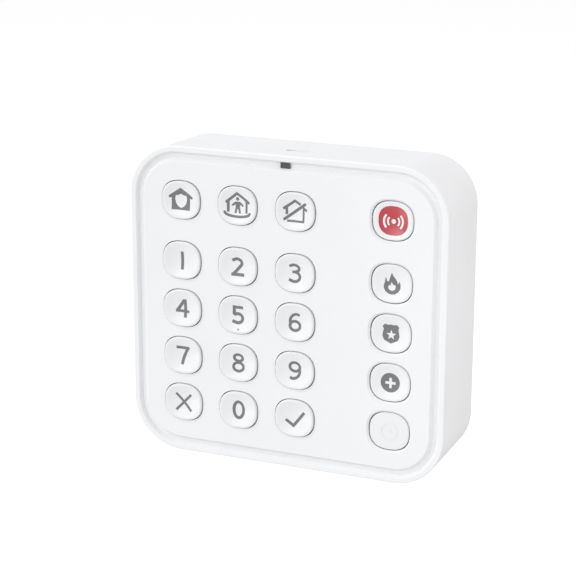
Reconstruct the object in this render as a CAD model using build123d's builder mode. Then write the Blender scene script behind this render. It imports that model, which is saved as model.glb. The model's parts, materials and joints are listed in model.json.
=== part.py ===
from build123d import *
import os
from math import atan2, cos, degrees, pi, sin

os.makedirs("parts", exist_ok=True)

# Wall-mounted alarm keypad panel, in millimetres.
# The wall is the plane Y = 0, the panel looks towards -Y and +Z is up.
# "Height" in the names below means the distance in front of the wall.

# ---------------------------------------------------------------- driving dimensions
BODY_W = 134.4
BODY_H = 127.6
BODY_R = 20.9
FRONT = 39.5  # height of the front face
BACK = 1.0  # height of the housing's rear edge, just clear of the wall
WALL = 2.2
SEAM = 38.2  # height where the front cover meets the rear housing
SIDE_DRAFT = 0.35  # how far each side wall leans in by the time it reaches the back
TOP_DRAFT = 1.6  # the same for the top and bottom walls
BACK_ROUND = 3.0

RIM_W = 2.25  # raised bead around the front
RIM_ROUND = 0.55
GROOVE_DEPTH = 1.5
GROOVE_OUTER_SLOPE = 1.05
GROOVE_FLOOR_W = 1.5
GROOVE_INNER_SLOPE = 1.15
GROOVE_W = GROOVE_OUTER_SLOPE + GROOVE_FLOOR_W + GROOVE_INNER_SLOPE
FACE_W = BODY_W - 2 * (RIM_W + GROOVE_W)
FACE_H = BODY_H - 2 * (RIM_W + GROOVE_W)
FACE_R = BODY_R - RIM_W - GROOVE_W
COVER_BACK = 36.5  # height of the back of the front cover's plate
FIT = 0.15  # clearance all round between moulded pieces of one assembly

# Keys: three columns for the number pad, one column apart from them for emergencies.
FIRST_COLUMN_X = -44.5
FIRST_ROW_Z = -42.55
ROW_PITCH = 20.0
COLUMN_PITCH = 24.6
MODE_ROW_GAP = 24.75  # the top row stands apart from the number rows
EMERGENCY_GAP = 39.87
KEY_HALF_W = 8.22
KEY_HALF_H = 7.68
KEY_SHAPE = 2.44  # superellipse exponent: 2 is an ellipse, larger is squarer
KEY_GAP_SIDE, KEY_GAP_END = 0.45, 0.33  # beside a key, and over and under it
KEY_PROUD = 0.9
KEY_SUNK = 0.7
KEY_DISH = 1.2
KEY_DISH_R = 7.2
KEY_CROWN = 1.2  # plastic left between the dish and the hollow
KEY_HOLLOW_R = 5.5
FLANGE_LIP = 0.8
FLANGE_TOP = 36.3
FLANGE_BACK = 35.5
OPENING_CHAMFER = 0.7
PANIC_INSET = (5.95, 5.75)  # half width and half height of the coloured inset
PANIC_INSET_FLOOR = 37.1

# Keypad stack behind the cover
MAT_TOP = 34.2
MAT_BACK = 33.2
MAT_W, MAT_H, MAT_R = 108.0, 103.0, 12.0
DOME_R, DOME_TOP = 4.2, 35.1
KEYPAD_BOARD_T = 1.6
KEYPAD_BOARD_W, KEYPAD_BOARD_H, KEYPAD_BOARD_R = 112.0, 113.0, 20.0
BOARD_POST_X, BOARD_POST_Z, BOARD_POST_R = 38.0, 54.0, 2.2

# Status window in the top stretch of the groove
WINDOW_W = 3.9
WINDOW_LOW = FACE_H / 2 + 0.85
WINDOW_HIGH = FACE_H / 2 + 3.15
WINDOW_SUNK = 0.7
STATUS_LED_Z = 54.8

# Rear housing
CORNER_BOSS = (55.0, 51.5)
BOSS_R = 3.6
SCREW_SEAT = 20.0
TUB_BOSS_TOP = 28.0
RECESS_W, RECESS_H, RECESS_R = 106.0, 98.0, 8.0
RECESS_FLOOR = 4.2  # height of the recess that takes the wall plate
BAY_HALF_W, BAY_LOW, BAY_HIGH, BAY_DEPTH = 13.0, -38.0, -10.0, 19.0
BAY_WALL = 1.8
CHANNEL_HALF_W, CHANNEL_DEPTH = 4.5, 9.0
PRY_SLOT_L, PRY_SLOT_W, PRY_SLOT_DEPTH = 10.5, 1.5, 1.3
PRY_SLOT_X, PRY_SLOT_HEIGHT = 0.5, 26.8
PRY_HOLE_L, PRY_HOLE_W = 3.0, 2.2

# Wall plate and its hooks
PLATE_W, PLATE_H, PLATE_R, PLATE_T = 102.0, 88.0, 7.0, 2.4
PLATE_Z = 3.0
LIFT = 6.0  # how far the panel is lifted to come off the hooks
HOOK_X = 40.0
HOOK_ROWS = (32.0, -2.0)
HOOK_W, HOOK_T, HOOK_LIP = 10.0, 2.5, 5.0
WALL_SCREW_X, WALL_SCREW_Z, WALL_SCREW_R = 48.0, 68.0, 2.25
BOX_SCREW_X, BOX_SLOT_L, BOX_SLOT_R = 60.3, 7.0, 1.9
SCREW_COUNTERSINK = 1.4
PLATE_CUTOUT = (24.0, 24.0)

# Electronics
MAIN_BOARD_X, MAIN_BOARD_LOW, MAIN_BOARD_HIGH = 44.0, -8.0, 56.0
MAIN_BOARD_BACK, MAIN_BOARD_T = 12.0, 1.6
MAIN_BOARD_TOP = MAIN_BOARD_BACK + MAIN_BOARD_T
MAIN_POSTS = ((-40.0, 12.0), (40.0, 12.0), (-40.0, 46.0), (40.0, 46.0))
TAMPER_Z, TAMPER_R = 24.0, 1.9
SIREN_X, SIREN_HEIGHT, SIREN_R, SIREN_L = 36.0, 18.6, 11.0, 13.0
CELL_R, CELL_L = 5.25, 44.5
CELL_ROW_X, CELL_ROW_Z = -33.8, -34.2
INLET_W, INLET_T, INLET_L = 8.94, 3.2, 7.3
RIBBON_W, RIBBON_T = 18.0, 0.3
RIBBON_X = 10.0

# ---------------------------------------------------------------- derived places
COLUMN_X = [FIRST_COLUMN_X + COLUMN_PITCH * step for step in range(3)]
EMERGENCY_X = COLUMN_X[2] + EMERGENCY_GAP
ROW_Z = [FIRST_ROW_Z + ROW_PITCH * step for step in range(4)]
MODE_Z = ROW_Z[3] + MODE_ROW_GAP
KEYPAD_BOARD_BACK = MAT_BACK - KEYPAD_BOARD_T
PLATEAU = RECESS_FLOOR + WALL

PAD_KEYS = {
    "away": (COLUMN_X[0], MODE_Z), "home": (COLUMN_X[1], MODE_Z), "off": (COLUMN_X[2], MODE_Z),
    "1": (COLUMN_X[0], ROW_Z[3]), "2": (COLUMN_X[1], ROW_Z[3]), "3": (COLUMN_X[2], ROW_Z[3]),
    "4": (COLUMN_X[0], ROW_Z[2]), "5": (COLUMN_X[1], ROW_Z[2]), "6": (COLUMN_X[2], ROW_Z[2]),
    "7": (COLUMN_X[0], ROW_Z[1]), "8": (COLUMN_X[1], ROW_Z[1]), "9": (COLUMN_X[2], ROW_Z[1]),
    "cancel": (COLUMN_X[0], ROW_Z[0]), "0": (COLUMN_X[1], ROW_Z[0]), "enter": (COLUMN_X[2], ROW_Z[0]),
}
EMERGENCY_KEYS = {
    "panic": (EMERGENCY_X, MODE_Z), "fire": (EMERGENCY_X, ROW_Z[3]), "police": (EMERGENCY_X, ROW_Z[2]),
    "medical": (EMERGENCY_X, ROW_Z[1]), "function": (EMERGENCY_X, ROW_Z[0]),
}
ALL_KEYS = {**PAD_KEYS, **EMERGENCY_KEYS}
HOOK_PLACES = [(side * HOOK_X, z) for side in (-1, 1) for z in HOOK_ROWS]
CORNERS = [(sx * CORNER_BOSS[0], sz * CORNER_BOSS[1]) for sx in (-1, 1) for sz in (-1, 1)]
BOARD_POSTS = [(sx * BOARD_POST_X, sz * BOARD_POST_Z) for sx in (-1, 1) for sz in (-1, 1)]


def facing(height, x=0.0, z=0.0):
    """Sketch plane parallel to the wall, looking out of the panel's front."""
    return Plane(origin=(x, -height, z), x_dir=(1, 0, 0), z_dir=(0, -1, 0))


def squircle(half_w, half_h, points=28):
    """Superellipse outline of a key, as a face in its own plane."""
    power = 2 / KEY_SHAPE
    outline = []
    for step in range(points):
        angle = 2 * pi * step / points
        across = abs(cos(angle)) ** power * (1 if cos(angle) >= 0 else -1)
        up = abs(sin(angle)) ** power * (1 if sin(angle) >= 0 else -1)
        outline.append((half_w * across, half_h * up))
    with BuildSketch() as shape:
        with BuildLine():
            Spline(*outline, periodic=True)
        make_face()
    return shape.sketch


def draft_at(height, total):
    """How far a side wall leans in at a height, from the seam to the back edge."""
    return total * (SEAM - height) / (SEAM - BACK)


def housing_outline(height, inset):
    """Rounded rectangle of the rear housing at a height, moved in by an inset."""
    side = draft_at(height, SIDE_DRAFT) + inset
    top = draft_at(height, TOP_DRAFT) + inset
    RectangleRounded(BODY_W - 2 * side, BODY_H - 2 * top, BODY_R - top)


def save(builder, label):
    """Label a finished piece and write it to its own STEP file."""
    builder.part.label = label
    export_step(builder.part, f"parts/{label}.step")


KEY_FACE = squircle(KEY_HALF_W, KEY_HALF_H)
OPENING_HALF_W, OPENING_HALF_H = KEY_HALF_W + KEY_GAP_SIDE, KEY_HALF_H + KEY_GAP_END
OPENING_FACE = squircle(OPENING_HALF_W, OPENING_HALF_H)
OPENING_MOUTH = squircle(OPENING_HALF_W + OPENING_CHAMFER, OPENING_HALF_H + OPENING_CHAMFER)
FLANGE_FACE = squircle(KEY_HALF_W + FLANGE_LIP, KEY_HALF_H + FLANGE_LIP)
PANIC_FACE = squircle(*PANIC_INSET)
DISH_SPHERE_R = (KEY_DISH_R**2 + KEY_DISH**2) / (2 * KEY_DISH)

# ---------------------------------------------------------------- front cover
with BuildPart() as front_cover:
    with BuildSketch(facing(SEAM)):
        RectangleRounded(BODY_W, BODY_H, BODY_R)
    extrude(amount=FRONT - SEAM)
    fillet(front_cover.faces().sort_by(Axis.Y)[0].edges(), radius=RIM_ROUND)
    with BuildSketch(facing(COVER_BACK)):
        housing_outline(COVER_BACK, WALL + FIT)
    extrude(amount=SEAM - COVER_BACK)
    # groove, then the plateau of the face panel standing up in it again
    with BuildSketch(facing(FRONT)):
        RectangleRounded(FACE_W + 2 * GROOVE_W, FACE_H + 2 * GROOVE_W, FACE_R + GROOVE_W)
    extrude(
        amount=-GROOVE_DEPTH,
        taper=degrees(atan2(GROOVE_OUTER_SLOPE, GROOVE_DEPTH)),
        mode=Mode.SUBTRACT,
    )
    with BuildSketch(facing(FRONT - GROOVE_DEPTH)):
        RectangleRounded(
            FACE_W + 2 * GROOVE_INNER_SLOPE, FACE_H + 2 * GROOVE_INNER_SLOPE, FACE_R + GROOVE_INNER_SLOPE
        )
    extrude(amount=GROOVE_DEPTH, taper=degrees(atan2(GROOVE_INNER_SLOPE, GROOVE_DEPTH)))
    front_edges = front_cover.edges().filter_by_position(Axis.Y, -FRONT - 0.01, -FRONT + 0.01)
    rim_edge_x = BODY_W / 2 - RIM_ROUND
    fillet(front_edges.filter_by(lambda edge: abs(edge.center().X) < rim_edge_x - 0.1), radius=0.4)
    # openings for the keys
    with BuildSketch(facing(COVER_BACK)):
        with Locations(*ALL_KEYS.values()):
            add(OPENING_FACE)
    extrude(amount=FRONT - COVER_BACK, mode=Mode.SUBTRACT)
    for x, z in EMERGENCY_KEYS.values():
        with BuildSketch(facing(FRONT, x, z)):
            add(OPENING_MOUTH)
        with BuildSketch(facing(FRONT - OPENING_CHAMFER, x, z)):
            add(OPENING_FACE)
        loft(mode=Mode.SUBTRACT)
    # window slot in the groove
    with BuildSketch(facing(COVER_BACK)):
        with Locations((0, (WINDOW_LOW + WINDOW_HIGH) / 2)):
            Rectangle(WINDOW_W, WINDOW_HIGH - WINDOW_LOW)
    extrude(amount=FRONT - COVER_BACK, mode=Mode.SUBTRACT)
    # screw bosses in the corners and posts for the keypad board
    with BuildSketch(facing(COVER_BACK)):
        with Locations(*CORNERS):
            Circle(BOSS_R - 0.2)
    extrude(amount=-(COVER_BACK - TUB_BOSS_TOP - 0.2))
    with BuildSketch(facing(COVER_BACK)):
        with Locations(*BOARD_POSTS):
            Circle(BOARD_POST_R)
    extrude(amount=-(COVER_BACK - MAT_BACK))
    with BuildSketch(facing(TUB_BOSS_TOP)):
        with Locations(*CORNERS):
            Circle(1.25)
    extrude(amount=FRONT - GROOVE_DEPTH - TUB_BOSS_TOP - 3, mode=Mode.SUBTRACT)
    with BuildSketch(facing(MAT_BACK)):
        with Locations(*BOARD_POSTS):
            Circle(0.8)
    extrude(amount=2.6, mode=Mode.SUBTRACT)
save(front_cover, "front_cover")

# ---------------------------------------------------------------- status window and its light
with BuildPart() as status_window:
    with BuildSketch(facing(COVER_BACK - 0.1)):
        with Locations((0, (WINDOW_LOW + WINDOW_HIGH) / 2)):
            Rectangle(WINDOW_W, WINDOW_HIGH - WINDOW_LOW)
    extrude(amount=FRONT - WINDOW_SUNK - COVER_BACK + 0.1)
    with BuildSketch(facing(COVER_BACK - 1.7)):
        with Locations((0, (WINDOW_HIGH + STATUS_LED_Z - 1.8) / 2)):
            Rectangle(WINDOW_W, WINDOW_HIGH - STATUS_LED_Z + 1.8)
    extrude(amount=1.6)
save(status_window, "status_window")

with BuildPart() as status_led:
    with BuildSketch(facing(MAT_BACK)):
        with Locations((0, STATUS_LED_Z)):
            Rectangle(3.0, 1.6)
    extrude(amount=1.2)
    chamfer(status_led.faces().sort_by(Axis.Y)[0].edges(), length=0.25)
save(status_led, "status_led")

# ---------------------------------------------------------------- keys


def key_cap(name, place, top, dished=True):
    """One key cap: retaining flange, superellipse cap, dished top and hollow back."""
    x, z = place
    crown = top - (KEY_DISH if dished else 0)
    with BuildPart() as cap:
        with BuildSketch(facing(FLANGE_BACK, x, z)):
            add(FLANGE_FACE)
        extrude(amount=FLANGE_TOP - FLANGE_BACK)
        with BuildSketch(facing(FLANGE_TOP, x, z)):
            add(KEY_FACE)
        extrude(amount=top - FLANGE_TOP)
        fillet(cap.faces().sort_by(Axis.Y)[0].edges(), radius=0.4)
        if dished:
            with Locations(facing(top - KEY_DISH + DISH_SPHERE_R, x, z)):
                Sphere(DISH_SPHERE_R, mode=Mode.SUBTRACT)
        with BuildSketch(facing(FLANGE_BACK, x, z)):
            Circle(KEY_HOLLOW_R)
        extrude(amount=crown - KEY_CROWN - FLANGE_BACK, mode=Mode.SUBTRACT)
        if name == "panic":
            with BuildSketch(facing(PANIC_INSET_FLOOR, x, z)):
                add(PANIC_FACE)
            extrude(amount=FRONT - PANIC_INSET_FLOOR, mode=Mode.SUBTRACT)
    return cap


for key_name, key_place in PAD_KEYS.items():
    save(key_cap(key_name, key_place, FRONT + KEY_PROUD), f"key_{key_name}")
for key_name, key_place in EMERGENCY_KEYS.items():
    cap = key_cap(key_name, key_place, FRONT - KEY_SUNK, dished=key_name != "function")
    save(cap, f"key_{key_name}")

panic_x, panic_z = EMERGENCY_KEYS["panic"]
with BuildPart() as panic_inset:
    with BuildSketch(facing(PANIC_INSET_FLOOR, panic_x, panic_z)):
        add(PANIC_FACE)
    extrude(amount=FRONT - KEY_SUNK - PANIC_INSET_FLOOR)
    with Locations(facing(FRONT - KEY_SUNK - KEY_DISH + DISH_SPHERE_R, panic_x, panic_z)):
        Sphere(DISH_SPHERE_R, mode=Mode.SUBTRACT)
save(panic_inset, "panic_key_inset")

# ---------------------------------------------------------------- keypad mat and board
with BuildPart() as keypad_mat:
    with BuildSketch(facing(MAT_BACK)):
        RectangleRounded(MAT_W, MAT_H, MAT_R)
    extrude(amount=MAT_TOP - MAT_BACK)
    with BuildSketch(facing(MAT_TOP)):
        with Locations(*ALL_KEYS.values()):
            Circle(DOME_R)
    extrude(amount=DOME_TOP - MAT_TOP, taper=25)
save(keypad_mat, "keypad_mat")

with BuildPart() as keypad_board:
    with BuildSketch(facing(KEYPAD_BOARD_BACK)):
        RectangleRounded(KEYPAD_BOARD_W, KEYPAD_BOARD_H, KEYPAD_BOARD_R)
        with Locations(*BOARD_POSTS):
            Circle(1.0, mode=Mode.SUBTRACT)
    extrude(amount=KEYPAD_BOARD_T)
save(keypad_board, "keypad_board")

with BuildPart() as keypad_board_screws:
    with BuildSketch(facing(KEYPAD_BOARD_BACK)):
        with Locations(*BOARD_POSTS):
            Circle(1.9)
    extrude(amount=-1.2)
    with BuildSketch(facing(KEYPAD_BOARD_BACK)):
        with Locations(*BOARD_POSTS):
            Circle(0.75)
    extrude(amount=KEYPAD_BOARD_T + 2.2)
save(keypad_board_screws, "keypad_board_screws")

# ---------------------------------------------------------------- rear housing
bay_centre = (0, (BAY_LOW + BAY_HIGH) / 2)
bay_size = (2 * BAY_HALF_W, BAY_HIGH - BAY_LOW)
bottom_wall = -BODY_H / 2
with BuildPart() as rear_housing:
    with BuildSketch(facing(SEAM)):
        housing_outline(SEAM, 0)
    with BuildSketch(facing(BACK)):
        housing_outline(BACK, 0)
    loft()
    fillet(rear_housing.faces().sort_by(Axis.Y)[-1].edges(), radius=BACK_ROUND)
    with BuildSketch(facing(SEAM)):
        housing_outline(SEAM, WALL)
    with BuildSketch(facing(BACK + WALL)):
        housing_outline(BACK + WALL, WALL)
    loft(mode=Mode.SUBTRACT)
    # raised floor over the wall plate's recess, the cable bay and the cable channel
    with BuildSketch(facing(BACK + WALL)):
        RectangleRounded(RECESS_W + 2 * WALL, RECESS_H + 2 * WALL, RECESS_R + WALL)
    extrude(amount=PLATEAU - BACK - WALL)
    with BuildSketch(facing(BACK + WALL)):
        with Locations(bay_centre):
            Rectangle(bay_size[0] + 2 * BAY_WALL, bay_size[1] + 2 * BAY_WALL)
    extrude(amount=BAY_DEPTH + BAY_WALL - BACK - WALL)
    channel_run = BAY_LOW - bottom_wall
    with BuildSketch(facing(BACK + WALL)):
        with Locations((0, BAY_LOW - (channel_run - WALL - TOP_DRAFT) / 2)):
            Rectangle(2 * (CHANNEL_HALF_W + BAY_WALL), channel_run - WALL - TOP_DRAFT)
    extrude(amount=CHANNEL_DEPTH + BAY_WALL - BACK - WALL)
    # corner bosses and board posts
    with BuildSketch(facing(BACK + WALL)):
        with Locations(*CORNERS):
            Circle(BOSS_R)
    extrude(amount=TUB_BOSS_TOP - BACK - WALL)
    with BuildSketch(facing(PLATEAU)):
        with Locations(*MAIN_POSTS):
            Circle(2.6)
    extrude(amount=MAIN_BOARD_BACK - PLATEAU)
    # everything that is cut from the back
    with BuildSketch(facing(0)):
        RectangleRounded(RECESS_W, RECESS_H, RECESS_R)
    extrude(amount=RECESS_FLOOR, mode=Mode.SUBTRACT)
    with BuildSketch(facing(0)):
        with Locations(bay_centre):
            RectangleRounded(*bay_size, 1.5)
    extrude(amount=BAY_DEPTH, mode=Mode.SUBTRACT)
    with BuildSketch(facing(0)):
        with Locations((0, BAY_LOW - channel_run / 2)):
            Rectangle(2 * CHANNEL_HALF_W, channel_run + 2)
    extrude(amount=CHANNEL_DEPTH, mode=Mode.SUBTRACT)
    with BuildSketch(facing(0)):
        with Locations(*CORNERS):
            Circle(2.9)
    extrude(amount=SCREW_SEAT, mode=Mode.SUBTRACT)
    with BuildSketch(facing(SCREW_SEAT)):
        with Locations(*CORNERS):
            Circle(1.6)
    extrude(amount=TUB_BOSS_TOP - SCREW_SEAT, mode=Mode.SUBTRACT)
    with BuildSketch(facing(PLATEAU + 0.8)):
        with Locations(*MAIN_POSTS):
            Circle(1.0)
    extrude(amount=MAIN_BOARD_BACK - PLATEAU, mode=Mode.SUBTRACT)
    # slots for the wall plate's hooks, long enough for the lift
    for hook_x, hook_z in HOOK_PLACES:
        with BuildSketch(facing(0)):
            with Locations((hook_x, hook_z + 0.05 - (LIFT + 0.4) / 2)):
                Rectangle(HOOK_W + 0.8, HOOK_T + LIFT + 0.5)
        extrude(amount=PLATEAU, mode=Mode.SUBTRACT)
    # hole for the tamper plunger
    with BuildSketch(facing(0)):
        with Locations((0, TAMPER_Z)):
            Circle(TAMPER_R + 0.1)
    extrude(amount=PLATEAU, mode=Mode.SUBTRACT)
    # mouth of the power inlet in the bay's upper wall
    with BuildSketch(Plane.XY.offset(BAY_HIGH - 1)):
        with Locations((0, -(MAIN_BOARD_TOP + INLET_T / 2))):
            RectangleRounded(INLET_W + 0.3, INLET_T + 0.3, 1.6)
    extrude(amount=BAY_WALL + 1.01, mode=Mode.SUBTRACT)
    # sound slots of the siren in the bottom wall
    with BuildSketch(Plane.XY.offset(bottom_wall - 1)):
        with GridLocations(3.4, 1, 6, 1):
            with Locations((SIREN_X, -SIREN_HEIGHT)):
                SlotOverall(14, 1.6, rotation=90)
    extrude(amount=WALL + TOP_DRAFT + 1, mode=Mode.SUBTRACT)
    # shallow case-opening slot in the top wall
    pry_top = BODY_H / 2 - draft_at(PRY_SLOT_HEIGHT, TOP_DRAFT)
    with BuildSketch(Plane.XY.offset(pry_top - PRY_SLOT_DEPTH)):
        with Locations((PRY_SLOT_X, -PRY_SLOT_HEIGHT)):
            SlotOverall(PRY_SLOT_L, PRY_SLOT_W)
    extrude(amount=PRY_SLOT_DEPTH + 1, mode=Mode.SUBTRACT)
    # and the hole at its left end, where a blade reaches through to the catch
    with BuildSketch(Plane.XY.offset(pry_top - WALL - 1)):
        with Locations((PRY_SLOT_X - (PRY_SLOT_L - PRY_HOLE_L) / 2, -PRY_SLOT_HEIGHT)):
            SlotOverall(PRY_HOLE_L, PRY_HOLE_W)
    extrude(amount=WALL + 2, mode=Mode.SUBTRACT)
save(rear_housing, "rear_housing")

with BuildPart() as housing_screws:
    with BuildSketch(facing(SCREW_SEAT)):
        with Locations(*CORNERS):
            Circle(2.7)
    extrude(amount=-2.2)
    with BuildSketch(facing(SCREW_SEAT)):
        with Locations(*CORNERS):
            Circle(1.2)
    extrude(amount=13.5)
    with BuildSketch(facing(SCREW_SEAT - 2.2)):
        with Locations(*CORNERS):
            Rectangle(3.2, 0.7)
            Rectangle(0.7, 3.2)
    extrude(amount=1.2, mode=Mode.SUBTRACT)
save(housing_screws, "housing_screws")

# ---------------------------------------------------------------- wall plate
hook_root = PLATE_T - 0.6
with BuildPart() as wall_plate:
    with BuildSketch(facing(0)):
        with Locations((0, PLATE_Z)):
            RectangleRounded(PLATE_W, PLATE_H, PLATE_R)
        with Locations(bay_centre):
            RectangleRounded(*PLATE_CUTOUT, 2, mode=Mode.SUBTRACT)
        with GridLocations(WALL_SCREW_X, WALL_SCREW_Z, 2, 2):
            Circle(WALL_SCREW_R, mode=Mode.SUBTRACT)
        with GridLocations(BOX_SCREW_X, 1, 2, 1):
            SlotOverall(BOX_SLOT_L, 2 * BOX_SLOT_R, mode=Mode.SUBTRACT)
    extrude(amount=PLATE_T)
    # countersinks, so that the screw heads stay clear of the housing
    with BuildSketch(facing(PLATE_T)):
        with GridLocations(WALL_SCREW_X, WALL_SCREW_Z, 2, 2):
            Circle(WALL_SCREW_R + SCREW_COUNTERSINK)
        with GridLocations(BOX_SCREW_X, 1, 2, 1):
            SlotOverall(BOX_SLOT_L + 2 * SCREW_COUNTERSINK, 2 * (BOX_SLOT_R + SCREW_COUNTERSINK))
    extrude(amount=-SCREW_COUNTERSINK, taper=45, mode=Mode.SUBTRACT)
    # hooks: a stem through the housing's slot and a lip standing up behind its wall
    for hook_x, hook_z in HOOK_PLACES:
        with BuildSketch(facing(hook_root)):
            with Locations((hook_x, hook_z)):
                Rectangle(HOOK_W, HOOK_T)
        extrude(amount=PLATEAU + 2.2 - hook_root)
        with BuildSketch(facing(PLATEAU + 0.2)):
            with Locations((hook_x, hook_z + HOOK_LIP / 2)):
                Rectangle(HOOK_W, HOOK_T + HOOK_LIP)
        extrude(amount=2.0)
    # raised bead that stiffens the edge
    with BuildSketch(facing(PLATE_T)):
        with Locations((0, PLATE_Z)):
            RectangleRounded(PLATE_W - 2, PLATE_H - 2, PLATE_R - 1)
            RectangleRounded(PLATE_W - 5, PLATE_H - 5, PLATE_R - 2.5, mode=Mode.SUBTRACT)
        with Locations((0, PLATE_Z - PLATE_H / 2)):
            Rectangle(2 * CHANNEL_HALF_W, 8, mode=Mode.SUBTRACT)
    extrude(amount=0.9)
save(wall_plate, "wall_plate")

# ---------------------------------------------------------------- main board and what it carries
with BuildPart() as main_board:
    with BuildSketch(facing(MAIN_BOARD_BACK)):
        with Locations((0, (MAIN_BOARD_LOW + MAIN_BOARD_HIGH) / 2)):
            RectangleRounded(2 * MAIN_BOARD_X, MAIN_BOARD_HIGH - MAIN_BOARD_LOW, 3)
        with Locations(*MAIN_POSTS):
            Circle(1.2, mode=Mode.SUBTRACT)
    extrude(amount=MAIN_BOARD_T)
save(main_board, "main_board")

with BuildPart() as main_board_screws:
    with BuildSketch(facing(MAIN_BOARD_TOP)):
        with Locations(*MAIN_POSTS):
            Circle(2.1)
    extrude(amount=1.4)
    with BuildSketch(facing(MAIN_BOARD_TOP)):
        with Locations(*MAIN_POSTS):
            Circle(0.9)
    extrude(amount=-6.0)
save(main_board_screws, "main_board_screws")

CHIPS = (  # x, z, width, height, thickness of each package on the main board
    (-20, 30, 14, 14, 1.4),
    (-20, 12, 8, 10, 1.2),
    (0, 44, 10, 6, 1.6),
    (26, 10, 7, 7, 2.6),
    (14, 4, 5, 8, 2.2),
    (-34, 30, 6, 5, 1.2),
)
with BuildPart() as main_board_chips:
    for chip_x, chip_z, chip_w, chip_h, chip_t in CHIPS:
        with BuildSketch(facing(MAIN_BOARD_TOP, chip_x, chip_z)):
            Rectangle(chip_w, chip_h)
        extrude(amount=chip_t)
save(main_board_chips, "main_board_chips")

with BuildPart() as radio_shield:
    with BuildSketch(facing(MAIN_BOARD_TOP, 25, 38)):
        RectangleRounded(22, 18, 1)
    extrude(amount=3.2)
    fillet(radio_shield.faces().sort_by(Axis.Y)[0].edges(), radius=0.5)
save(radio_shield, "radio_shield")

with BuildPart() as power_inlet:
    with BuildSketch(Plane.XY.offset(BAY_HIGH)):
        with Locations((0, -(MAIN_BOARD_TOP + INLET_T / 2))):
            RectangleRounded(INLET_W, INLET_T, 1.5)
    extrude(amount=INLET_L)
    with BuildSketch(Plane.XY.offset(BAY_HIGH)):
        with Locations((0, -(MAIN_BOARD_TOP + INLET_T / 2))):
            RectangleRounded(INLET_W - 0.6, INLET_T - 0.64, 1.2)
            Rectangle(6.7, 0.7, mode=Mode.SUBTRACT)
    extrude(amount=6.2, mode=Mode.SUBTRACT)
save(power_inlet, "power_inlet")

# tamper plunger and the switch behind it
with BuildPart() as tamper_plunger:
    with BuildSketch(facing(PLATE_T + 0.1, 0, TAMPER_Z)):
        Circle(TAMPER_R)
    extrude(amount=5.7)
    with BuildSketch(facing(PLATEAU + 0.4, 0, TAMPER_Z)):
        Circle(TAMPER_R + 1.1)
    extrude(amount=0.8)
    fillet(tamper_plunger.faces().sort_by(Axis.Y)[-1].edges(), radius=0.6)
save(tamper_plunger, "tamper_plunger")

with BuildPart() as tamper_switch:
    with BuildSketch(facing(MAIN_BOARD_BACK, 0, TAMPER_Z)):
        RectangleRounded(6.2, 6.2, 0.6)
    extrude(amount=-1.9)
save(tamper_switch, "tamper_switch")

# flat ribbon between the boards, in sockets on both
ribbon_low = MAIN_BOARD_TOP + 2.4
ribbon_high = KEYPAD_BOARD_BACK - 2.4
with BuildPart() as ribbon_sockets:
    with BuildSketch(facing(MAIN_BOARD_TOP, RIBBON_X, 24)):
        Rectangle(RIBBON_W + 3, 4.5)
    extrude(amount=2.4)
    with BuildSketch(facing(KEYPAD_BOARD_BACK, RIBBON_X, 24)):
        Rectangle(RIBBON_W + 3, 4.5)
    extrude(amount=-2.4)
save(ribbon_sockets, "ribbon_sockets")

with BuildPart() as ribbon_cable:
    with BuildSketch(Plane.YZ.offset(RIBBON_X - RIBBON_W / 2)):
        with BuildLine():
            ribbon_path = FilletPolyline(
                (-ribbon_low, 24), (-ribbon_low - 3, 24), (-ribbon_low - 3, 18),
                (-ribbon_high + 3, 18), (-ribbon_high + 3, 24), (-ribbon_high, 24),
                radius=1.4,
            )
        trace(line_width=RIBBON_T)
    extrude(amount=RIBBON_W)
save(ribbon_cable, "ribbon_cable")

# ---------------------------------------------------------------- siren
siren_mouth = -BODY_H / 2 + WALL + 2.4
with BuildPart() as siren:
    with BuildSketch(Plane.XY.offset(siren_mouth)):
        with Locations((SIREN_X, -SIREN_HEIGHT)):
            Circle(SIREN_R)
            Circle(SIREN_R - 5, mode=Mode.SUBTRACT)
    extrude(amount=1.4)
    with BuildSketch(Plane.XY.offset(siren_mouth + 1.4)):
        with Locations((SIREN_X, -SIREN_HEIGHT)):
            Circle(SIREN_R)
    extrude(amount=SIREN_L - 1.4)
    fillet(siren.faces().sort_by(Axis.Z)[-1].edges(), radius=1.0)
save(siren, "siren")

with BuildPart() as siren_gasket:
    with BuildSketch(Plane.XY.offset(siren_mouth - 1.0)):
        with Locations((SIREN_X, -SIREN_HEIGHT)):
            Circle(SIREN_R)
            Circle(SIREN_R - 2.5, mode=Mode.SUBTRACT)
    extrude(amount=1.0)
save(siren_gasket, "siren_gasket")

siren_centre = siren_mouth + SIREN_L / 2
with BuildPart() as siren_cradle:
    with BuildSketch(Plane.XY.offset(siren_centre - 3)):
        with Locations((SIREN_X, -(PLATEAU + 3.6))):
            Rectangle(16, 7.2)
        with Locations((SIREN_X, -SIREN_HEIGHT)):
            Circle(SIREN_R + 0.1, mode=Mode.SUBTRACT)
    extrude(amount=6)
save(siren_cradle, "siren_cradle")

# ---------------------------------------------------------------- backup battery
tray_w = 6 * CELL_R + 3.0
tray_l = CELL_L + 3.0
cell_height = PLATEAU + 1.2 + CELL_R
with BuildPart() as battery_tray:
    with BuildSketch(facing(PLATEAU, CELL_ROW_X, CELL_ROW_Z)):
        RectangleRounded(tray_w, tray_l, 1.5)
    extrude(amount=1.2)
    with BuildSketch(facing(PLATEAU + 1.2, CELL_ROW_X, CELL_ROW_Z)):
        RectangleRounded(tray_w, tray_l, 1.5)
        Rectangle(6 * CELL_R + 0.4, CELL_L + 0.4, mode=Mode.SUBTRACT)
    extrude(amount=5.0)
save(battery_tray, "battery_tray")

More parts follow.
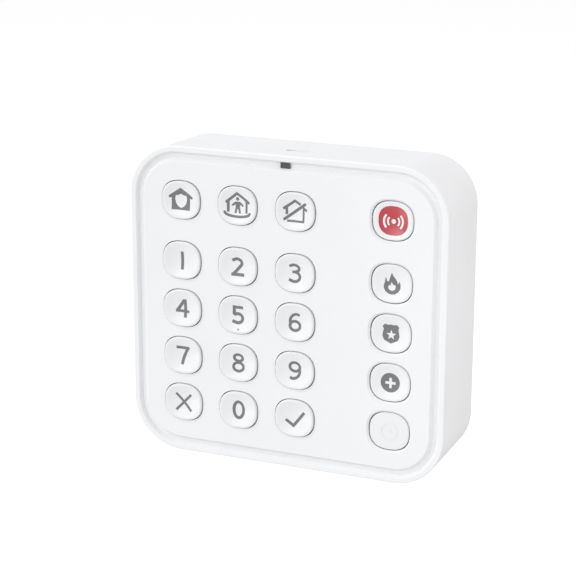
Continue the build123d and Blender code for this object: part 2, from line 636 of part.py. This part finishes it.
with BuildPart() as backup_battery:
    with BuildSketch(Plane.XY.offset(CELL_ROW_Z - CELL_L / 2)):
        for step in (-1, 0, 1):
            with Locations((CELL_ROW_X + step * 2 * CELL_R, -cell_height)):
                Circle(CELL_R - 0.05)
        with Locations((CELL_ROW_X, -cell_height)):
            Rectangle(4 * CELL_R, CELL_R)
    extrude(amount=CELL_L)
save(backup_battery, "backup_battery")

cell_end = CELL_ROW_Z + CELL_L / 2
lead_low = cell_height + 2.5
lead_high = lead_low + 5.6
plug_z = -4.0
plug_top = MAIN_BOARD_TOP + 4.2
with BuildPart() as battery_lead:
    for side in (-1.0, 1.0):
        lead_x = CELL_ROW_X + 4 + side
        with BuildLine() as lead_path:
            FilletPolyline(
                (lead_x, -lead_low, cell_end),
                (lead_x, -lead_low, cell_end + 2.5),
                (lead_x, -lead_high, cell_end + 2.5),
                (lead_x, -lead_high, plug_z),
                (lead_x, -plug_top, plug_z),
                radius=1.8,
            )
        with BuildSketch(Plane(lead_path.wire() @ 0, z_dir=lead_path.wire() % 0)):
            Circle(0.7)
        sweep(path=lead_path.wire())
save(battery_lead, "battery_lead")

with BuildPart() as battery_plug:
    with BuildSketch(facing(MAIN_BOARD_TOP, CELL_ROW_X + 4, plug_z)):
        Rectangle(6.4, 4.6)
    extrude(amount=plug_top - MAIN_BOARD_TOP)
save(battery_plug, "battery_plug")
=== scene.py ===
"""Looks of the alarm keypad panel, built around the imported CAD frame.

The scene is in metres. Keys, legends and their constants are worked out in millimetres and scaled by MM.
"""
import json
from math import cos, pi, radians, sin

import bpy
import numpy as np
from mathutils import Matrix, Vector


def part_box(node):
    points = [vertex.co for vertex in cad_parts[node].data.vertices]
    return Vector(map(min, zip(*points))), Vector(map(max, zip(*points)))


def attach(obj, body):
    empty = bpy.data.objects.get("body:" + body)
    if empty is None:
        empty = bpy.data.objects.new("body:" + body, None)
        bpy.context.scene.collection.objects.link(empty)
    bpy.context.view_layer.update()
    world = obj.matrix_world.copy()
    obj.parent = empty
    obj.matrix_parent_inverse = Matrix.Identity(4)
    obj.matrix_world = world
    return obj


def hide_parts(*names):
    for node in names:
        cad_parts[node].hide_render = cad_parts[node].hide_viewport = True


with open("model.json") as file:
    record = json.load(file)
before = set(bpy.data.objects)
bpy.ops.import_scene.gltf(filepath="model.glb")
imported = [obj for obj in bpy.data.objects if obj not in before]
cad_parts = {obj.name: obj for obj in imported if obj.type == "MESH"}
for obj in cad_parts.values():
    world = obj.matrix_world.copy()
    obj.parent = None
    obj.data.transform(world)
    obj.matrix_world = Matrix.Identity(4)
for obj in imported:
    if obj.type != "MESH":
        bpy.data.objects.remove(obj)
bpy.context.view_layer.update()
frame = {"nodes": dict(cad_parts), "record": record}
MM = 0.001

# ---------------------------------------------------------------- sizes
PAD_KEYS = ("away", "home", "off", "1", "2", "3", "4", "5", "6", "7", "8", "9", "cancel", "0", "enter")
EMERGENCY_KEYS = ("panic", "fire", "police", "medical", "function")
KEY_SHAPE = 2.44  # superellipse exponent of the key outlines
FLANGE_LIP, FLANGE_T = 0.8, 0.8  # mm, the retaining flange around each cap
KEY_EDGE = 0.42  # mm, rounding of the cap's rim
KEY_LAND = 0.3  # mm, flat between the rounded rim and the dish
DISH_DEPTH = 1.2  # mm
DISH_SOFTNESS = 1.2  # above 1 the dish starts without a crease
CROWN_T = 1.2  # mm of plastic between the dish and the hollow back
HOLLOW_R = 5.5  # mm, the round hollow in the back of a cap
AROUND_STEPS, EDGE_STEPS, DISH_STEPS = 112, 6, 25  # faces around a cap, over its rim and down its dish
LEGEND_LIFT = 0.03  # mm the printing stands above the dish
LEGEND_SINK = 0.25  # mm it reaches below it
EMERGENCY_LEGEND_SHIFT = (-0.27, -0.5)  # mm across and up, where the emergency keys are printed
PANIC_INSET = (5.95, 5.75)  # mm, half width and half height of the red inset
INSET_LIFT, INSET_SINK = 0.04, 0.8  # mm the red inset stands above the dish and reaches below it
INSET_LEGEND_SINK = 0.2  # mm the white printing on it reaches below the dish
EMBOSS_LIFT, EMBOSS_SINK = 0.16, 0.2  # mm, the raised mark of the function key
NIB_PLACE, NIB_R, NIB_LIFT = (0.2, -5.9), 0.33, 0.12  # mm, the locating nib of the middle key
GRID = 0.11  # mm, spacing of the grid that legends are filled on
# mm from the key's centre to the edge of that grid
LEGEND_REACH, EMBOSS_REACH, INSET_REACH, INSET_LEGEND_REACH, NIB_REACH = 6.6, 3.9, 6.2, 5.2, 6.9
CORNER_GUARD = 0.03  # share of a cell that keeps cut points away from its corners
FAR = 1e9  # a distance beyond every shape
TINY = 1e-9  # keeps divisions safe
ON_LINE = 1e-6  # grid values this close to zero count as inside
SMOOTH_ANGLE = radians(35)  # faces that meet at a larger angle keep a crisp edge


# ---------------------------------------------------------------- flat shapes as distance fields, in mm
def stroke(points, width, round_ends=False):
    """A line of constant width through the points, with square ends unless told otherwise."""
    last = len(points) - 2

    def field(x, z):
        nearest = np.full(x.shape, FAR)
        for step, (start, end) in enumerate(zip(points[:-1], points[1:])):
            run = np.subtract(end, start)
            length = max(np.hypot(*run), TINY)
            along = ((x - start[0]) * run[0] + (z - start[1]) * run[1]) / length
            across = np.abs((x - start[0]) * run[1] - (z - start[1]) * run[0]) / length
            beyond = np.maximum(-along, along - length)
            distance = np.hypot(across, np.maximum(beyond, 0)) - width / 2
            if not round_ends:
                square = np.maximum(across - width / 2, beyond)
                if step == 0:
                    distance = np.where(along < 0, square, distance)
                if step == last:
                    distance = np.where(along > length, square, distance)
            nearest = np.minimum(nearest, distance)
        return nearest

    return field


def polygon(*points):
    """A filled outline."""

    def field(x, z):
        nearest = np.full(x.shape, FAR)
        inside = np.zeros(x.shape, bool)
        for start, end in zip(points, points[1:] + points[:1]):
            run = np.subtract(end, start)
            share = ((x - start[0]) * run[0] + (z - start[1]) * run[1]) / max(run @ run, TINY)
            share = np.clip(share, 0, 1)
            gap = np.hypot(x - start[0] - share * run[0], z - start[1] - share * run[1])
            nearest = np.minimum(nearest, gap)
            crosses = (start[1] > z) != (end[1] > z)
            with np.errstate(divide="ignore", invalid="ignore"):
                reach = start[0] + (z - start[1]) * run[0] / run[1]
            inside ^= crosses & (x < reach)
        return np.where(inside, -nearest, nearest)

    return field


def disc(centre, radius):
    """A filled circle."""
    return lambda x, z: np.hypot(x - centre[0], z - centre[1]) - radius


def squircle(half_w, half_h):
    """Filled superellipse of the keys' own shape."""
    size = (half_w + half_h) / 2
    return lambda x, z: (
        (np.abs(x / half_w) ** KEY_SHAPE + np.abs(z / half_h) ** KEY_SHAPE) ** (1 / KEY_SHAPE) - 1
    ) * size


def join(*fields):
    """Several shapes as one."""
    return lambda x, z: np.minimum.reduce([field(x, z) for field in fields])


def cut(body, *tools):
    """A shape with others taken out of it."""
    return lambda x, z: np.maximum(body(x, z), -join(*tools)(x, z))


def grow(field, amount):
    """A shape thickened all round, which also rounds its corners."""
    return lambda x, z: field(x, z) - amount


def arc(centre, radii, start, end, steps=14):
    """Points along an elliptic arc, angles in degrees anticlockwise from the right."""
    angles = np.radians(np.linspace(start, end, steps))
    return [(centre[0] + radii[0] * cos(a), centre[1] + radii[1] * sin(a)) for a in angles]


def moved(field, across, up):
    """A shape in another place."""
    return lambda x, z: field(x - across, z - up)


def star(centre, outer, inner):
    """A five-pointed star standing on two of its points."""
    corners = []
    for step in range(10):
        radius = inner if step % 2 else outer
        turn = step * pi / 5
        corners.append((centre[0] + radius * sin(turn), centre[1] + radius * cos(turn)))
    return polygon(*corners)


def mirrored(points):
    """Half an outline, listed from its top to its bottom on the axis, completed on the other side."""
    return [*points, *[(-x, z) for x, z in points[-2:0:-1]]]


# ---------------------------------------------------------------- legends, in mm from each key's centre
BOLD, ROUND = 1.28, 1.15  # stroke widths of the open figures and of the looped ones
SIX = join(
    stroke(arc((-0.05, -1.6), (2.15, 1.85), 0, 360, 28), ROUND),
    stroke(arc((0.95, 0.2), (3.1, 3.1), 195, 100) + [(1.1, 3.25), (1.95, 2.85)], ROUND),
)
GROUND = [(-5.4, -2.85)] + arc((-0.05, -2.7), (5.5, 1.75), 205, 335) + [(5.35, -2.85)]
LEGENDS = {
    "1": stroke([(0.05, 3.5), (0.05, -3.85)], BOLD),
    "2": join(
        stroke([(-2.45, 2.35)] + arc((-0.3, 1.45), (1.95, 1.65), 125, -40) + [(-1.75, -3.0)], BOLD),
        stroke([(-2.8, -3.3), (2.7, -3.3)], 1.3),
    ),
    "3": join(
        stroke([(-2.4, 2.7)] + arc((-0.4, 1.85), (2.0, 1.45), 122, -90), ROUND),
        stroke(arc((-0.35, -1.55), (2.3, 1.9), 90, -125) + [(-2.6, -2.75)], ROUND),
        stroke([(-1.3, 0.37), (-0.2, 0.37)], 1.1),
    ),
    "4": join(
        stroke([(1.1, 3.7), (1.1, -3.95)], 1.35),
        stroke([(-3.1, -1.35), (2.85, -1.35)], 1.1),
        stroke([(0.7, 3.3), (-2.6, -1.4)], 1.3),
    ),
    "5": join(
        stroke([(-1.65, 3.15), (2.1, 3.15)], 1.25),
        stroke([(-1.7, 3.78), (-1.85, -0.1)], 1.3),
        stroke([(-1.85, 0.15)] + arc((-0.2, -1.45), (2.1, 1.85), 125, -120) + [(-2.55, -2.75)], BOLD),
    ),
    "6": SIX,
    "7": join(
        stroke([(-3.0, 3.15), (2.75, 3.15)], 1.25),
        stroke([(2.25, 3.3), (1.2, 1.5), (0.2, -0.8), (-0.3, -2.6), (-0.45, -3.95)], BOLD),
    ),
    "8": join(
        stroke(arc((-0.05, 1.95), (1.85, 1.4), 0, 360, 28), ROUND),
        stroke(arc((-0.05, -1.85), (2.2, 1.75), 0, 360, 28), ROUND),
    ),
    "9": lambda x, z: SIX(-x - 0.1, -z - 0.2),
    "0": stroke(arc((-0.05, -0.1), (2.12, 3.38), 0, 360, 32), BOLD),
    "cancel": join(
        stroke([(-3.45, 3.35), (3.3, -3.8)], 1.05),
        stroke([(3.3, 3.35), (-3.45, -3.8)], 1.05),
    ),
    "enter": stroke([(-3.85, -1.1), (-0.5, -3.35), (4.2, 2.75)], 1.2),
    "away": cut(
        join(
            stroke([(-4.85, 1.15), (-0.2, 4.3), (4.55, 1.15)], 1.15, round_ends=True),
            polygon((-4.2, -4.1), (3.85, -4.1), (3.85, 1.4), (-0.2, 4.2), (-4.2, 1.4)),
        ),
        grow(
            lambda x, z: polygon(
                *mirrored([
                    (0, 2.2), (0.9, 1.7), (2.2, 1.45), (2.4, 0.2), (2.0, -1.5), (1.1, -2.55), (0, -3.1),
                ])
            )(x + 0.17, z),
            0.22,
        ),
    ),
    "home": join(
        stroke([(-4.65, 1.3), (-0.1, 4.97), (4.85, 1.5)], 1.1, round_ends=True),
        stroke([(-4.0, 1.6), (-4.0, -2.7)], 1.1),
        stroke([(3.85, 1.7), (3.85, -2.8)], 0.95),
        disc((-0.05, 2.65), 0.72),
        polygon((-1.0, 1.5), (0.9, 1.5), (1.05, 1.2), (0.75, -1.4), (-0.85, -1.4), (-1.15, 1.2)),
        stroke([(-2.15, 0.1), (-0.9, 1.1)], 0.85, round_ends=True),
        stroke([(2.05, 0.1), (0.8, 1.1)], 0.85, round_ends=True),
        stroke([(-0.55, -0.9), (-1.0, -3.1)], 0.85),
        stroke([(0.45, -0.9), (0.95, -3.1)], 0.85),
        stroke(GROUND, 1.0, round_ends=True),
    ),
    "off": join(
        stroke([(-5.0, 0.8), (-0.05, 4.3), (2.15, 2.85)], 1.05),
        stroke([(-3.6, 1.5), (-3.6, -1.35)], 1.0),
        stroke([(-4.4, -3.25), (4.2, 3.2)], 1.15, round_ends=True),
        stroke([(3.3, 1.75), (4.9, 0.6)], 0.95),
        stroke([(3.45, 1.2), (3.45, -3.85), (-3.3, -3.85)], 0.85),
    ),
    "fire": cut(
        grow(
            polygon(
                (0, 4.45), (0.35, 3.4), (1.3, 2.3), (2.0, 1.1), (2.2, 0.0), (2.75, 0.4), (3.1, 1.1),
                (3.4, -0.3), (3.3, -1.5), (2.5, -2.8), (1.3, -3.6), (0.1, -3.8), (-1.2, -3.6), (-2.4, -2.8),
                (-3.1, -1.6), (-3.1, -0.4), (-2.7, 0.8), (-2.45, 2.4), (-2.2, 1.2), (-1.6, 0.6), (-1.0, 1.4),
                (-0.7, 2.6),
            ),
            0.15,
        ),
        grow(
            polygon(
                (-0.2, 0.85), (0.1, 0.2), (0.6, -0.25), (0.95, -0.45), (1.2, 0.0), (1.5, -1.1),
                (1.15, -2.0), (0.3, -2.45), (-0.6, -2.4), (-1.4, -1.8), (-1.5, -1.0), (-1.1, -0.3),
                (-0.8, -0.95), (-0.5, 0.0),
            ),
            0.05,
        ),
    ),
    "police": cut(
        grow(
            polygon(
                *mirrored([
                    (0, 3.75), (1.3, 3.55), (2.4, 3.85), (3.2, 3.0), (2.75, 2.0), (3.1, 0.6), (3.3, -0.9),
                    (2.6, -2.3), (1.3, -2.9), (0, -3.5),
                ])
            ),
            0.2,
        ),
        star((0.05, -0.35), 2.15, 0.88),
    ),
    "medical": cut(
        disc((0.1, 0.3), 3.95),
        stroke([(-2.0, 0.1), (2.2, 0.1)], 1.1),
        stroke([(0.1, -2.0), (0.1, 2.2)], 1.1),
    ),
    "panic": join(
        disc((0.2, 0.1), 0.9),
        *[
            stroke(arc((0.2, 0.1), (radius, radius), middle - 41, middle + 41), width)
            for middle in (0, 180)
            for radius, width in ((2.3, 0.7), (3.8, 0.8))
        ],
    ),
    "function": join(
        cut(disc((0, 0), 3.6), disc((0, 0), 3.1)),
        disc((0, 0), 1.0),
    ),
}


# ---------------------------------------------------------------- mesh helpers
def new_object(name, vertices, faces, body, slot):
    """A mesh object in the object's own frame, smooth up to an angle, that rides on a body."""
    mesh = bpy.data.meshes.new(name)
    mesh.from_pydata([tuple(v) for v in vertices], [], faces)
    mesh.validate()
    mesh.shade_smooth()
    mesh.set_sharp_from_angle(angle=SMOOTH_ANGLE)
    mesh.materials.append(MATERIALS[slot])
    piece = bpy.data.objects.new(name, mesh)
    bpy.context.scene.collection.objects.link(piece)
    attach(piece, body)
    return piece


def fill_grid(field, reach):
    """Cells of a square grid inside a field, cut along its zero line: points (n, 2) and faces."""
    count = int(np.ceil(2 * reach / GRID)) + 1
    line = np.linspace(-reach, reach, count)
    x, z = np.meshgrid(line, line, indexing="ij")
    value = field(x, z)
    value = np.where(np.abs(value) < ON_LINE, -ON_LINE, value)
    points, index, faces = [], {}, []

    def corner(i, j):
        if (i, j) not in index:
            index[(i, j)] = len(points)
            points.append((x[i, j], z[i, j]))
        return index[(i, j)]

    def crossing(a, b):
        name = (a, b) if a < b else (b, a)
        if name not in index:
            low, high = name
            share = value[low] / (value[low] - value[high])
            share = min(max(share, CORNER_GUARD), 1 - CORNER_GUARD)
            index[name] = len(points)
            points.append((
                x[low] + share * (x[high] - x[low]),
                z[low] + share * (z[high] - z[low]),
            ))
        return index[name]

    inside = value < 0
    touched = inside[:-1, :-1] | inside[1:, :-1] | inside[1:, 1:] | inside[:-1, 1:]
    for i, j in np.argwhere(touched).tolist():
        loop = [(i, j), (i + 1, j), (i + 1, j + 1), (i, j + 1)]
        face = []
        for a, b in zip(loop, loop[1:] + loop[:1]):
            if inside[a]:
                face.append(corner(*a))
            if inside[a] != inside[b]:
                face.append(crossing(a, b))
        faces.append(face)
    return np.array(points), faces


def slab(points, faces, height, thickness):
    """A closed solid from flat faces: its front follows height(x, z), its back is a thickness behind."""
    count = len(points)
    top = height(points[:, 0], points[:, 1])
    vertices = np.concatenate([
        np.column_stack([points[:, 0], -top, points[:, 1]]),
        np.column_stack([points[:, 0], -top + thickness, points[:, 1]]),
    ])
    edges = {}  # a dict keeps the order in which the edges were met
    for face in faces:
        edges.update(dict.fromkeys(zip(face, face[1:] + face[:1])))
    rim = [(a, b) for a, b in edges if (b, a) not in edges]
    backs = [[v + count for v in face[::-1]] for face in faces]
    sides = [[b, a, a + count, b + count] for a, b in rim]
    return vertices, faces + backs + sides


# ---------------------------------------------------------------- keys
def key_place(name):
    """Centre, half sizes, front height and back height of a key cap, in mm, from its CAD node."""
    low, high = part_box(f"key_{name}")
    centre = ((low.x + high.x) / 2 / MM, (low.z + high.z) / 2 / MM)
    half = ((high.x - low.x) / 2 / MM - FLANGE_LIP, (high.z - low.z) / 2 / MM - FLANGE_LIP)
    return centre, half, -low.y / MM, -high.y / MM


def dish_height(half, front, depth):
    """The height of a key's dished front over its own centre, as a function of x and z in mm."""
    inset = KEY_EDGE + KEY_LAND

    def height(x, z):
        share = (np.abs(x / (half[0] - inset)) ** KEY_SHAPE + np.abs(z / (half[1] - inset)) ** KEY_SHAPE)
        share = np.minimum(share ** (1 / KEY_SHAPE), 1)
        return front - depth * (1 - share**2) ** DISH_SOFTNESS

    return height


def cap_rings(half, front, back, depth):
    """Half width, half height and height of each ring of a cap, from flange to rim to dish."""
    flange = back + FLANGE_T
    profile = [(-FLANGE_LIP, back), (-FLANGE_LIP, flange), (0, flange), (0, front - KEY_EDGE)]
    for a in np.linspace(0, pi / 2, EDGE_STEPS + 1)[1:]:
        profile.append((KEY_EDGE * (1 - cos(a)), front - KEY_EDGE * (1 - sin(a))))
    rings = [(half[0] - moved_in, half[1] - moved_in, height) for moved_in, height in profile]
    inset = KEY_EDGE + KEY_LAND
    for share in np.linspace(1, 0, DISH_STEPS + 1)[:-1]:
        drop = depth * (1 - share**2) ** DISH_SOFTNESS
        rings.append((share * (half[0] - inset), share * (half[1] - inset), front - drop))
    return rings


def key_cap(name, depth):
    """A closed key cap: a round hollow from behind, then the rings of its superellipse, and both middles."""
    centre, half, front, back = key_place(name)
    ceiling = front - depth - CROWN_T
    hollow = [(HOLLOW_R, HOLLOW_R, ceiling), (HOLLOW_R, HOLLOW_R, back)]
    rings = hollow + cap_rings(half, front, back, depth)
    turn = np.linspace(0, 2 * pi, AROUND_STEPS, endpoint=False)
    vertices = []
    for ring, (wide, tall, height) in enumerate(rings):
        shape = 2 if ring < len(hollow) else KEY_SHAPE
        reach = (np.abs(np.cos(turn)) ** shape + np.abs(np.sin(turn)) ** shape) ** (-1 / shape)
        across = centre[0] + wide * reach * np.cos(turn)
        up = centre[1] + tall * reach * np.sin(turn)
        vertices.append(np.column_stack([across, np.full(AROUND_STEPS, -height), up]))
    faces = []
    for first in range(0, (len(rings) - 1) * AROUND_STEPS, AROUND_STEPS):
        for step in range(AROUND_STEPS):
            a, b = first + step, first + (step + 1) % AROUND_STEPS
            faces.append([a, b, b + AROUND_STEPS, a + AROUND_STEPS])
    vertices.append([(centre[0], -ceiling, centre[1]), (centre[0], -(front - depth), centre[1])])
    vertices = np.concatenate(vertices)
    last = (len(rings) - 1) * AROUND_STEPS
    for step in range(AROUND_STEPS):
        after = (step + 1) % AROUND_STEPS
        faces.append([after, step, len(vertices) - 2])
        faces.append([last + step, last + after, len(vertices) - 1])
    piece = new_object(f"cap_{name}", vertices * MM, faces, f"key_{name}", "key_white")
    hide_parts(f"key_{name}")


def inlay(name, label, field, slot, reach, depth, lift, sink):
    """Printing or an inset that follows the dish of a key, drawn within a reach of the key's centre."""
    centre, half, front, _ = key_place(name)
    surface = dish_height(half, front, depth)
    points, faces = fill_grid(field, reach)
    vertices, faces = slab(points, faces, lambda x, z: surface(x, z) + lift, lift + sink)
    vertices = vertices + np.array([centre[0], 0, centre[1]])
    return new_object(label, vertices * MM, faces, f"key_{name}", slot)


# ---------------------------------------------------------------- materials
MOTTLE_SCALE, MOTTLE_DETAIL = 45.0, 4.0
GRAIN_DETAIL, GRAIN_DEPTH = 2.0, 0.0001
GLOSS_SPREAD = 0.04  # how far the roughness wanders to each side


def new_material(name):
    """An empty node material with a Principled shader, and its node tree."""
    material = bpy.data.materials.new(name)
    material.use_nodes = True
    return material, material.node_tree


def plastic(name, color, roughness, grain=0.00025, bump=0.02, mottle=0.02, specular=0.5, coat=0.0, metal=0.0):
    """A moulded or plated surface: fine spark texture as bump, and slight mottling of colour and gloss."""
    material, tree = new_material(name)
    shader = tree.nodes["Principled BSDF"]
    place = tree.nodes.new("ShaderNodeTexCoord")
    cloud = tree.nodes.new("ShaderNodeTexNoise")
    cloud.inputs["Scale"].default_value = MOTTLE_SCALE
    cloud.inputs["Detail"].default_value = MOTTLE_DETAIL
    tint = tree.nodes.new("ShaderNodeMix")
    tint.data_type = "RGBA"
    tint.inputs["A"].default_value = (*[max(c * (1 - mottle), 0) for c in color], 1)
    tint.inputs["B"].default_value = (*[min(c * (1 + mottle), 1) for c in color], 1)
    gloss = tree.nodes.new("ShaderNodeMapRange")
    gloss.inputs["To Min"].default_value = roughness - GLOSS_SPREAD
    gloss.inputs["To Max"].default_value = roughness + GLOSS_SPREAD
    grit = tree.nodes.new("ShaderNodeTexNoise")
    grit.inputs["Scale"].default_value = 1.0 / grain
    grit.inputs["Detail"].default_value = GRAIN_DETAIL
    relief = tree.nodes.new("ShaderNodeBump")
    relief.inputs["Strength"].default_value = bump
    relief.inputs["Distance"].default_value = GRAIN_DEPTH
    link = tree.links.new
    link(place.outputs["Object"], cloud.inputs["Vector"])
    link(place.outputs["Object"], grit.inputs["Vector"])
    link(cloud.outputs["Fac"], tint.inputs["Factor"])
    link(cloud.outputs["Fac"], gloss.inputs["Value"])
    link(tint.outputs["Result"], shader.inputs["Base Color"])
    link(gloss.outputs["Result"], shader.inputs["Roughness"])
    link(grit.outputs["Fac"], relief.inputs["Height"])
    link(relief.outputs["Normal"], shader.inputs["Normal"])
    shader.inputs["Specular IOR Level"].default_value = specular
    shader.inputs["Coat Weight"].default_value = coat
    shader.inputs["Metallic"].default_value = metal
    return material


WHITE = (0.80, 0.807, 0.82)
MATERIALS = {
    "shell_white": plastic("shell_white", WHITE, 0.42),
    "key_white": plastic("key_white", (0.775, 0.78, 0.792), 0.38, bump=0.01),
    "plate_white": plastic("plate_white", (0.74, 0.745, 0.75), 0.5),
    "inset_red": plastic("inset_red", (0.465, 0.032, 0.047), 0.33, bump=0.01, mottle=0.06, specular=0.8),
    "window_smoke": plastic("window_smoke", (0.06, 0.072, 0.072), 0.2, bump=0.0, mottle=0.05, coat=0.2),
    "led_lens": plastic("led_lens", (0.75, 0.78, 0.74), 0.25, bump=0.0),
    "silicone_grey": plastic("silicone_grey", (0.32, 0.33, 0.34), 0.6, bump=0.05),
    "board_green": plastic("board_green", (0.015, 0.10, 0.035), 0.3, grain=0.0012, bump=0.1, mottle=0.15),
    "screw_steel": plastic("screw_steel", (0.55, 0.55, 0.57), 0.32, metal=1.0, mottle=0.06),
    "chip_black": plastic("chip_black", (0.018, 0.018, 0.02), 0.5, mottle=0.1),
    "shield_steel": plastic("shield_steel", (0.62, 0.62, 0.64), 0.28, metal=1.0, mottle=0.04),
    "plunger_white": plastic("plunger_white", (0.74, 0.73, 0.70), 0.4),
    "socket_ivory": plastic("socket_ivory", (0.66, 0.60, 0.46), 0.5),
    "ribbon_film": plastic("ribbon_film", (0.62, 0.66, 0.70), 0.25, mottle=0.05),
    "siren_black": plastic("siren_black", (0.02, 0.02, 0.02), 0.45, mottle=0.1),
    "foam_black": plastic("foam_black", (0.03, 0.03, 0.03), 0.9, grain=0.0006, bump=0.4, mottle=0.2),
    "battery_wrap": plastic("battery_wrap", (0.02, 0.09, 0.32), 0.25, mottle=0.06, coat=0.3),
    "lead_red": plastic("lead_red", (0.35, 0.01, 0.01), 0.45),
    "legend_grey": plastic("legend_grey", (0.16, 0.166, 0.172), 0.45, bump=0.01),
    "legend_white": plastic("legend_white", (0.82, 0.80, 0.80), 0.4, bump=0.01),
}

# ---------------------------------------------------------------- dressing the object
for row in frame["record"]["subparts"]:
    mesh = frame["nodes"][row["node"]].data
    if not mesh.materials:
        mesh.materials.append(None)
    for index in range(len(mesh.materials)):
        mesh.materials[index] = MATERIALS[row["material_slot"]]

for name in PAD_KEYS + EMERGENCY_KEYS:
    depth = 0.0 if name == "function" else DISH_DEPTH
    legend = LEGENDS[name]
    key_cap(name, depth)
    if name == "function":
        inlay(name, "emboss_function", legend, "key_white", EMBOSS_REACH, depth, EMBOSS_LIFT, EMBOSS_SINK)
    elif name == "panic":
        inset = squircle(*PANIC_INSET)
        red = inlay(name, "inset_panic", inset, "inset_red", INSET_REACH, depth, INSET_LIFT, INSET_SINK)
        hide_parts("panic_key_inset")
        legend = moved(legend, *EMERGENCY_LEGEND_SHIFT)
        reach, lift = INSET_LEGEND_REACH, INSET_LIFT + LEGEND_LIFT
        inlay(name, "legend_panic", legend, "legend_white", reach, depth, lift, INSET_LEGEND_SINK)
    else:
        if name in EMERGENCY_KEYS:
            legend = moved(legend, *EMERGENCY_LEGEND_SHIFT)
        inlay(name, f"legend_{name}", legend, "legend_grey", LEGEND_REACH, depth, LEGEND_LIFT, LEGEND_SINK)
inlay("5", "nib_5", disc(NIB_PLACE, NIB_R), "legend_grey", NIB_REACH, DISH_DEPTH, NIB_LIFT, LEGEND_SINK)

# ---------------------------------------------------------------- camera
CAMERA_AZIMUTH, CAMERA_ELEVATION, CAMERA_ROLL = radians(23.20), radians(15.95), radians(0.14)
CAMERA_PLACE = Vector((0.27648, -0.68073, 0.21046))
SENSOR_W, LENS = 36.0, 115.6  # mm
camera_data = bpy.data.cameras.new("camera")
camera_data.sensor_width = SENSOR_W
camera_data.lens = LENS
camera = bpy.data.objects.new("camera", camera_data)
bpy.context.scene.collection.objects.link(camera)
level = cos(CAMERA_ELEVATION)
back = Vector((sin(CAMERA_AZIMUTH) * level, -cos(CAMERA_AZIMUTH) * level, sin(CAMERA_ELEVATION)))
right = (-back).cross(Vector((0, 0, 1))).normalized()
up = right.cross(-back)
turned_right = cos(CAMERA_ROLL) * right + sin(CAMERA_ROLL) * up
turned_up = cos(CAMERA_ROLL) * up - sin(CAMERA_ROLL) * right
pose = Matrix((turned_right, turned_up, back)).transposed().to_4x4()
pose.translation = CAMERA_PLACE
camera.matrix_world = pose
bpy.context.scene.camera = camera
bpy.context.scene.view_settings.view_transform = "Standard"


# ---------------------------------------------------------------- light and floor
NEUTRAL, WARM = (1, 1, 1), (1, 0.87, 0.88)


def area_light(name, place, target, size, power, color=NEUTRAL):
    """A round softbox at a place, turned towards a target, with its power in watts."""
    data = bpy.data.lights.new(name, "AREA")
    data.shape = "DISK"
    data.size = size
    data.energy = power
    data.color = color
    light = bpy.data.objects.new(name, data)
    bpy.context.scene.collection.objects.link(light)
    light.location = place
    light.rotation_euler = (Vector(target) - Vector(place)).to_track_quat("-Z", "Y").to_euler()


# name, azimuth and elevation in degrees seen from the panel, distance, disc size, power in watts, colour
SOFTBOXES = (
    ("key_high_left", -45, 48, 3.0, 1.2, 14.4, NEUTRAL),
    ("key_left", -60, 25, 3.0, 1.2, 9.4, NEUTRAL),
    ("key_front_left", -30, 15, 3.0, 1.2, 19.8, NEUTRAL),
    ("fill_low_left", -50, -28, 2.0, 1.0, 9.0, NEUTRAL),
    ("back_right", 102, 5, 1.23, 0.6, 1.7, WARM),
    ("back_top", 180, 79, 1.32, 0.6, 4.2, NEUTRAL),
)
for name, azimuth, elevation, distance, size, power, color in SOFTBOXES:
    place = Vector((
        sin(radians(azimuth)) * cos(radians(elevation)),
        -cos(radians(azimuth)) * cos(radians(elevation)),
        sin(radians(elevation)),
    )) * distance
    area_light(name, place, (0, 0, 0), size, power, color)
# two small lights close by, which lift the right and the lower part of the face
area_light("glow_right", (0.22, -0.14, 0.02), (0.06, -0.03, 0), size=0.16, power=0.09)
area_light("glow_low", (-0.08, -0.30, -0.32), (-0.02, -0.04, -0.05), size=0.25, power=0.085)

WORLD_STRENGTH = 0.713
world = bpy.data.worlds.new("studio")
bpy.context.scene.world = world
world.use_nodes = True
world.node_tree.nodes["Background"].inputs["Color"].default_value = (1, 1, 1, 1)
world.node_tree.nodes["Background"].inputs["Strength"].default_value = WORLD_STRENGTH

# hidden from diffuse and glossy rays, so the floor doesn't light the object from below
FLOOR_HALF, FLOOR_Z, FLOOR_TONE, FLOOR_ROUGHNESS, FLOOR_GLOW = 20.0, -0.45, 0.9, 0.9, 0.32
floor_mesh = bpy.data.meshes.new("floor")
corners = [(x * FLOOR_HALF, y * FLOOR_HALF, 0) for x, y in ((-1, -1), (1, -1), (1, 1), (-1, 1))]
floor_mesh.from_pydata(corners, [], [(0, 1, 2, 3)])
floor = bpy.data.objects.new("floor", floor_mesh)
floor.location = (0, 0, FLOOR_Z)
bpy.context.scene.collection.objects.link(floor)
floor_material, floor_tree = new_material("floor_white")
floor_shader = floor_tree.nodes["Principled BSDF"]
floor_shader.inputs["Base Color"].default_value = (FLOOR_TONE, FLOOR_TONE, FLOOR_TONE, 1)
floor_shader.inputs["Roughness"].default_value = FLOOR_ROUGHNESS
floor_shader.inputs["Emission Color"].default_value = (1, 1, 1, 1)
floor_shader.inputs["Emission Strength"].default_value = FLOOR_GLOW
floor_mesh.materials.append(floor_material)
floor.visible_diffuse = False
floor.visible_glossy = False
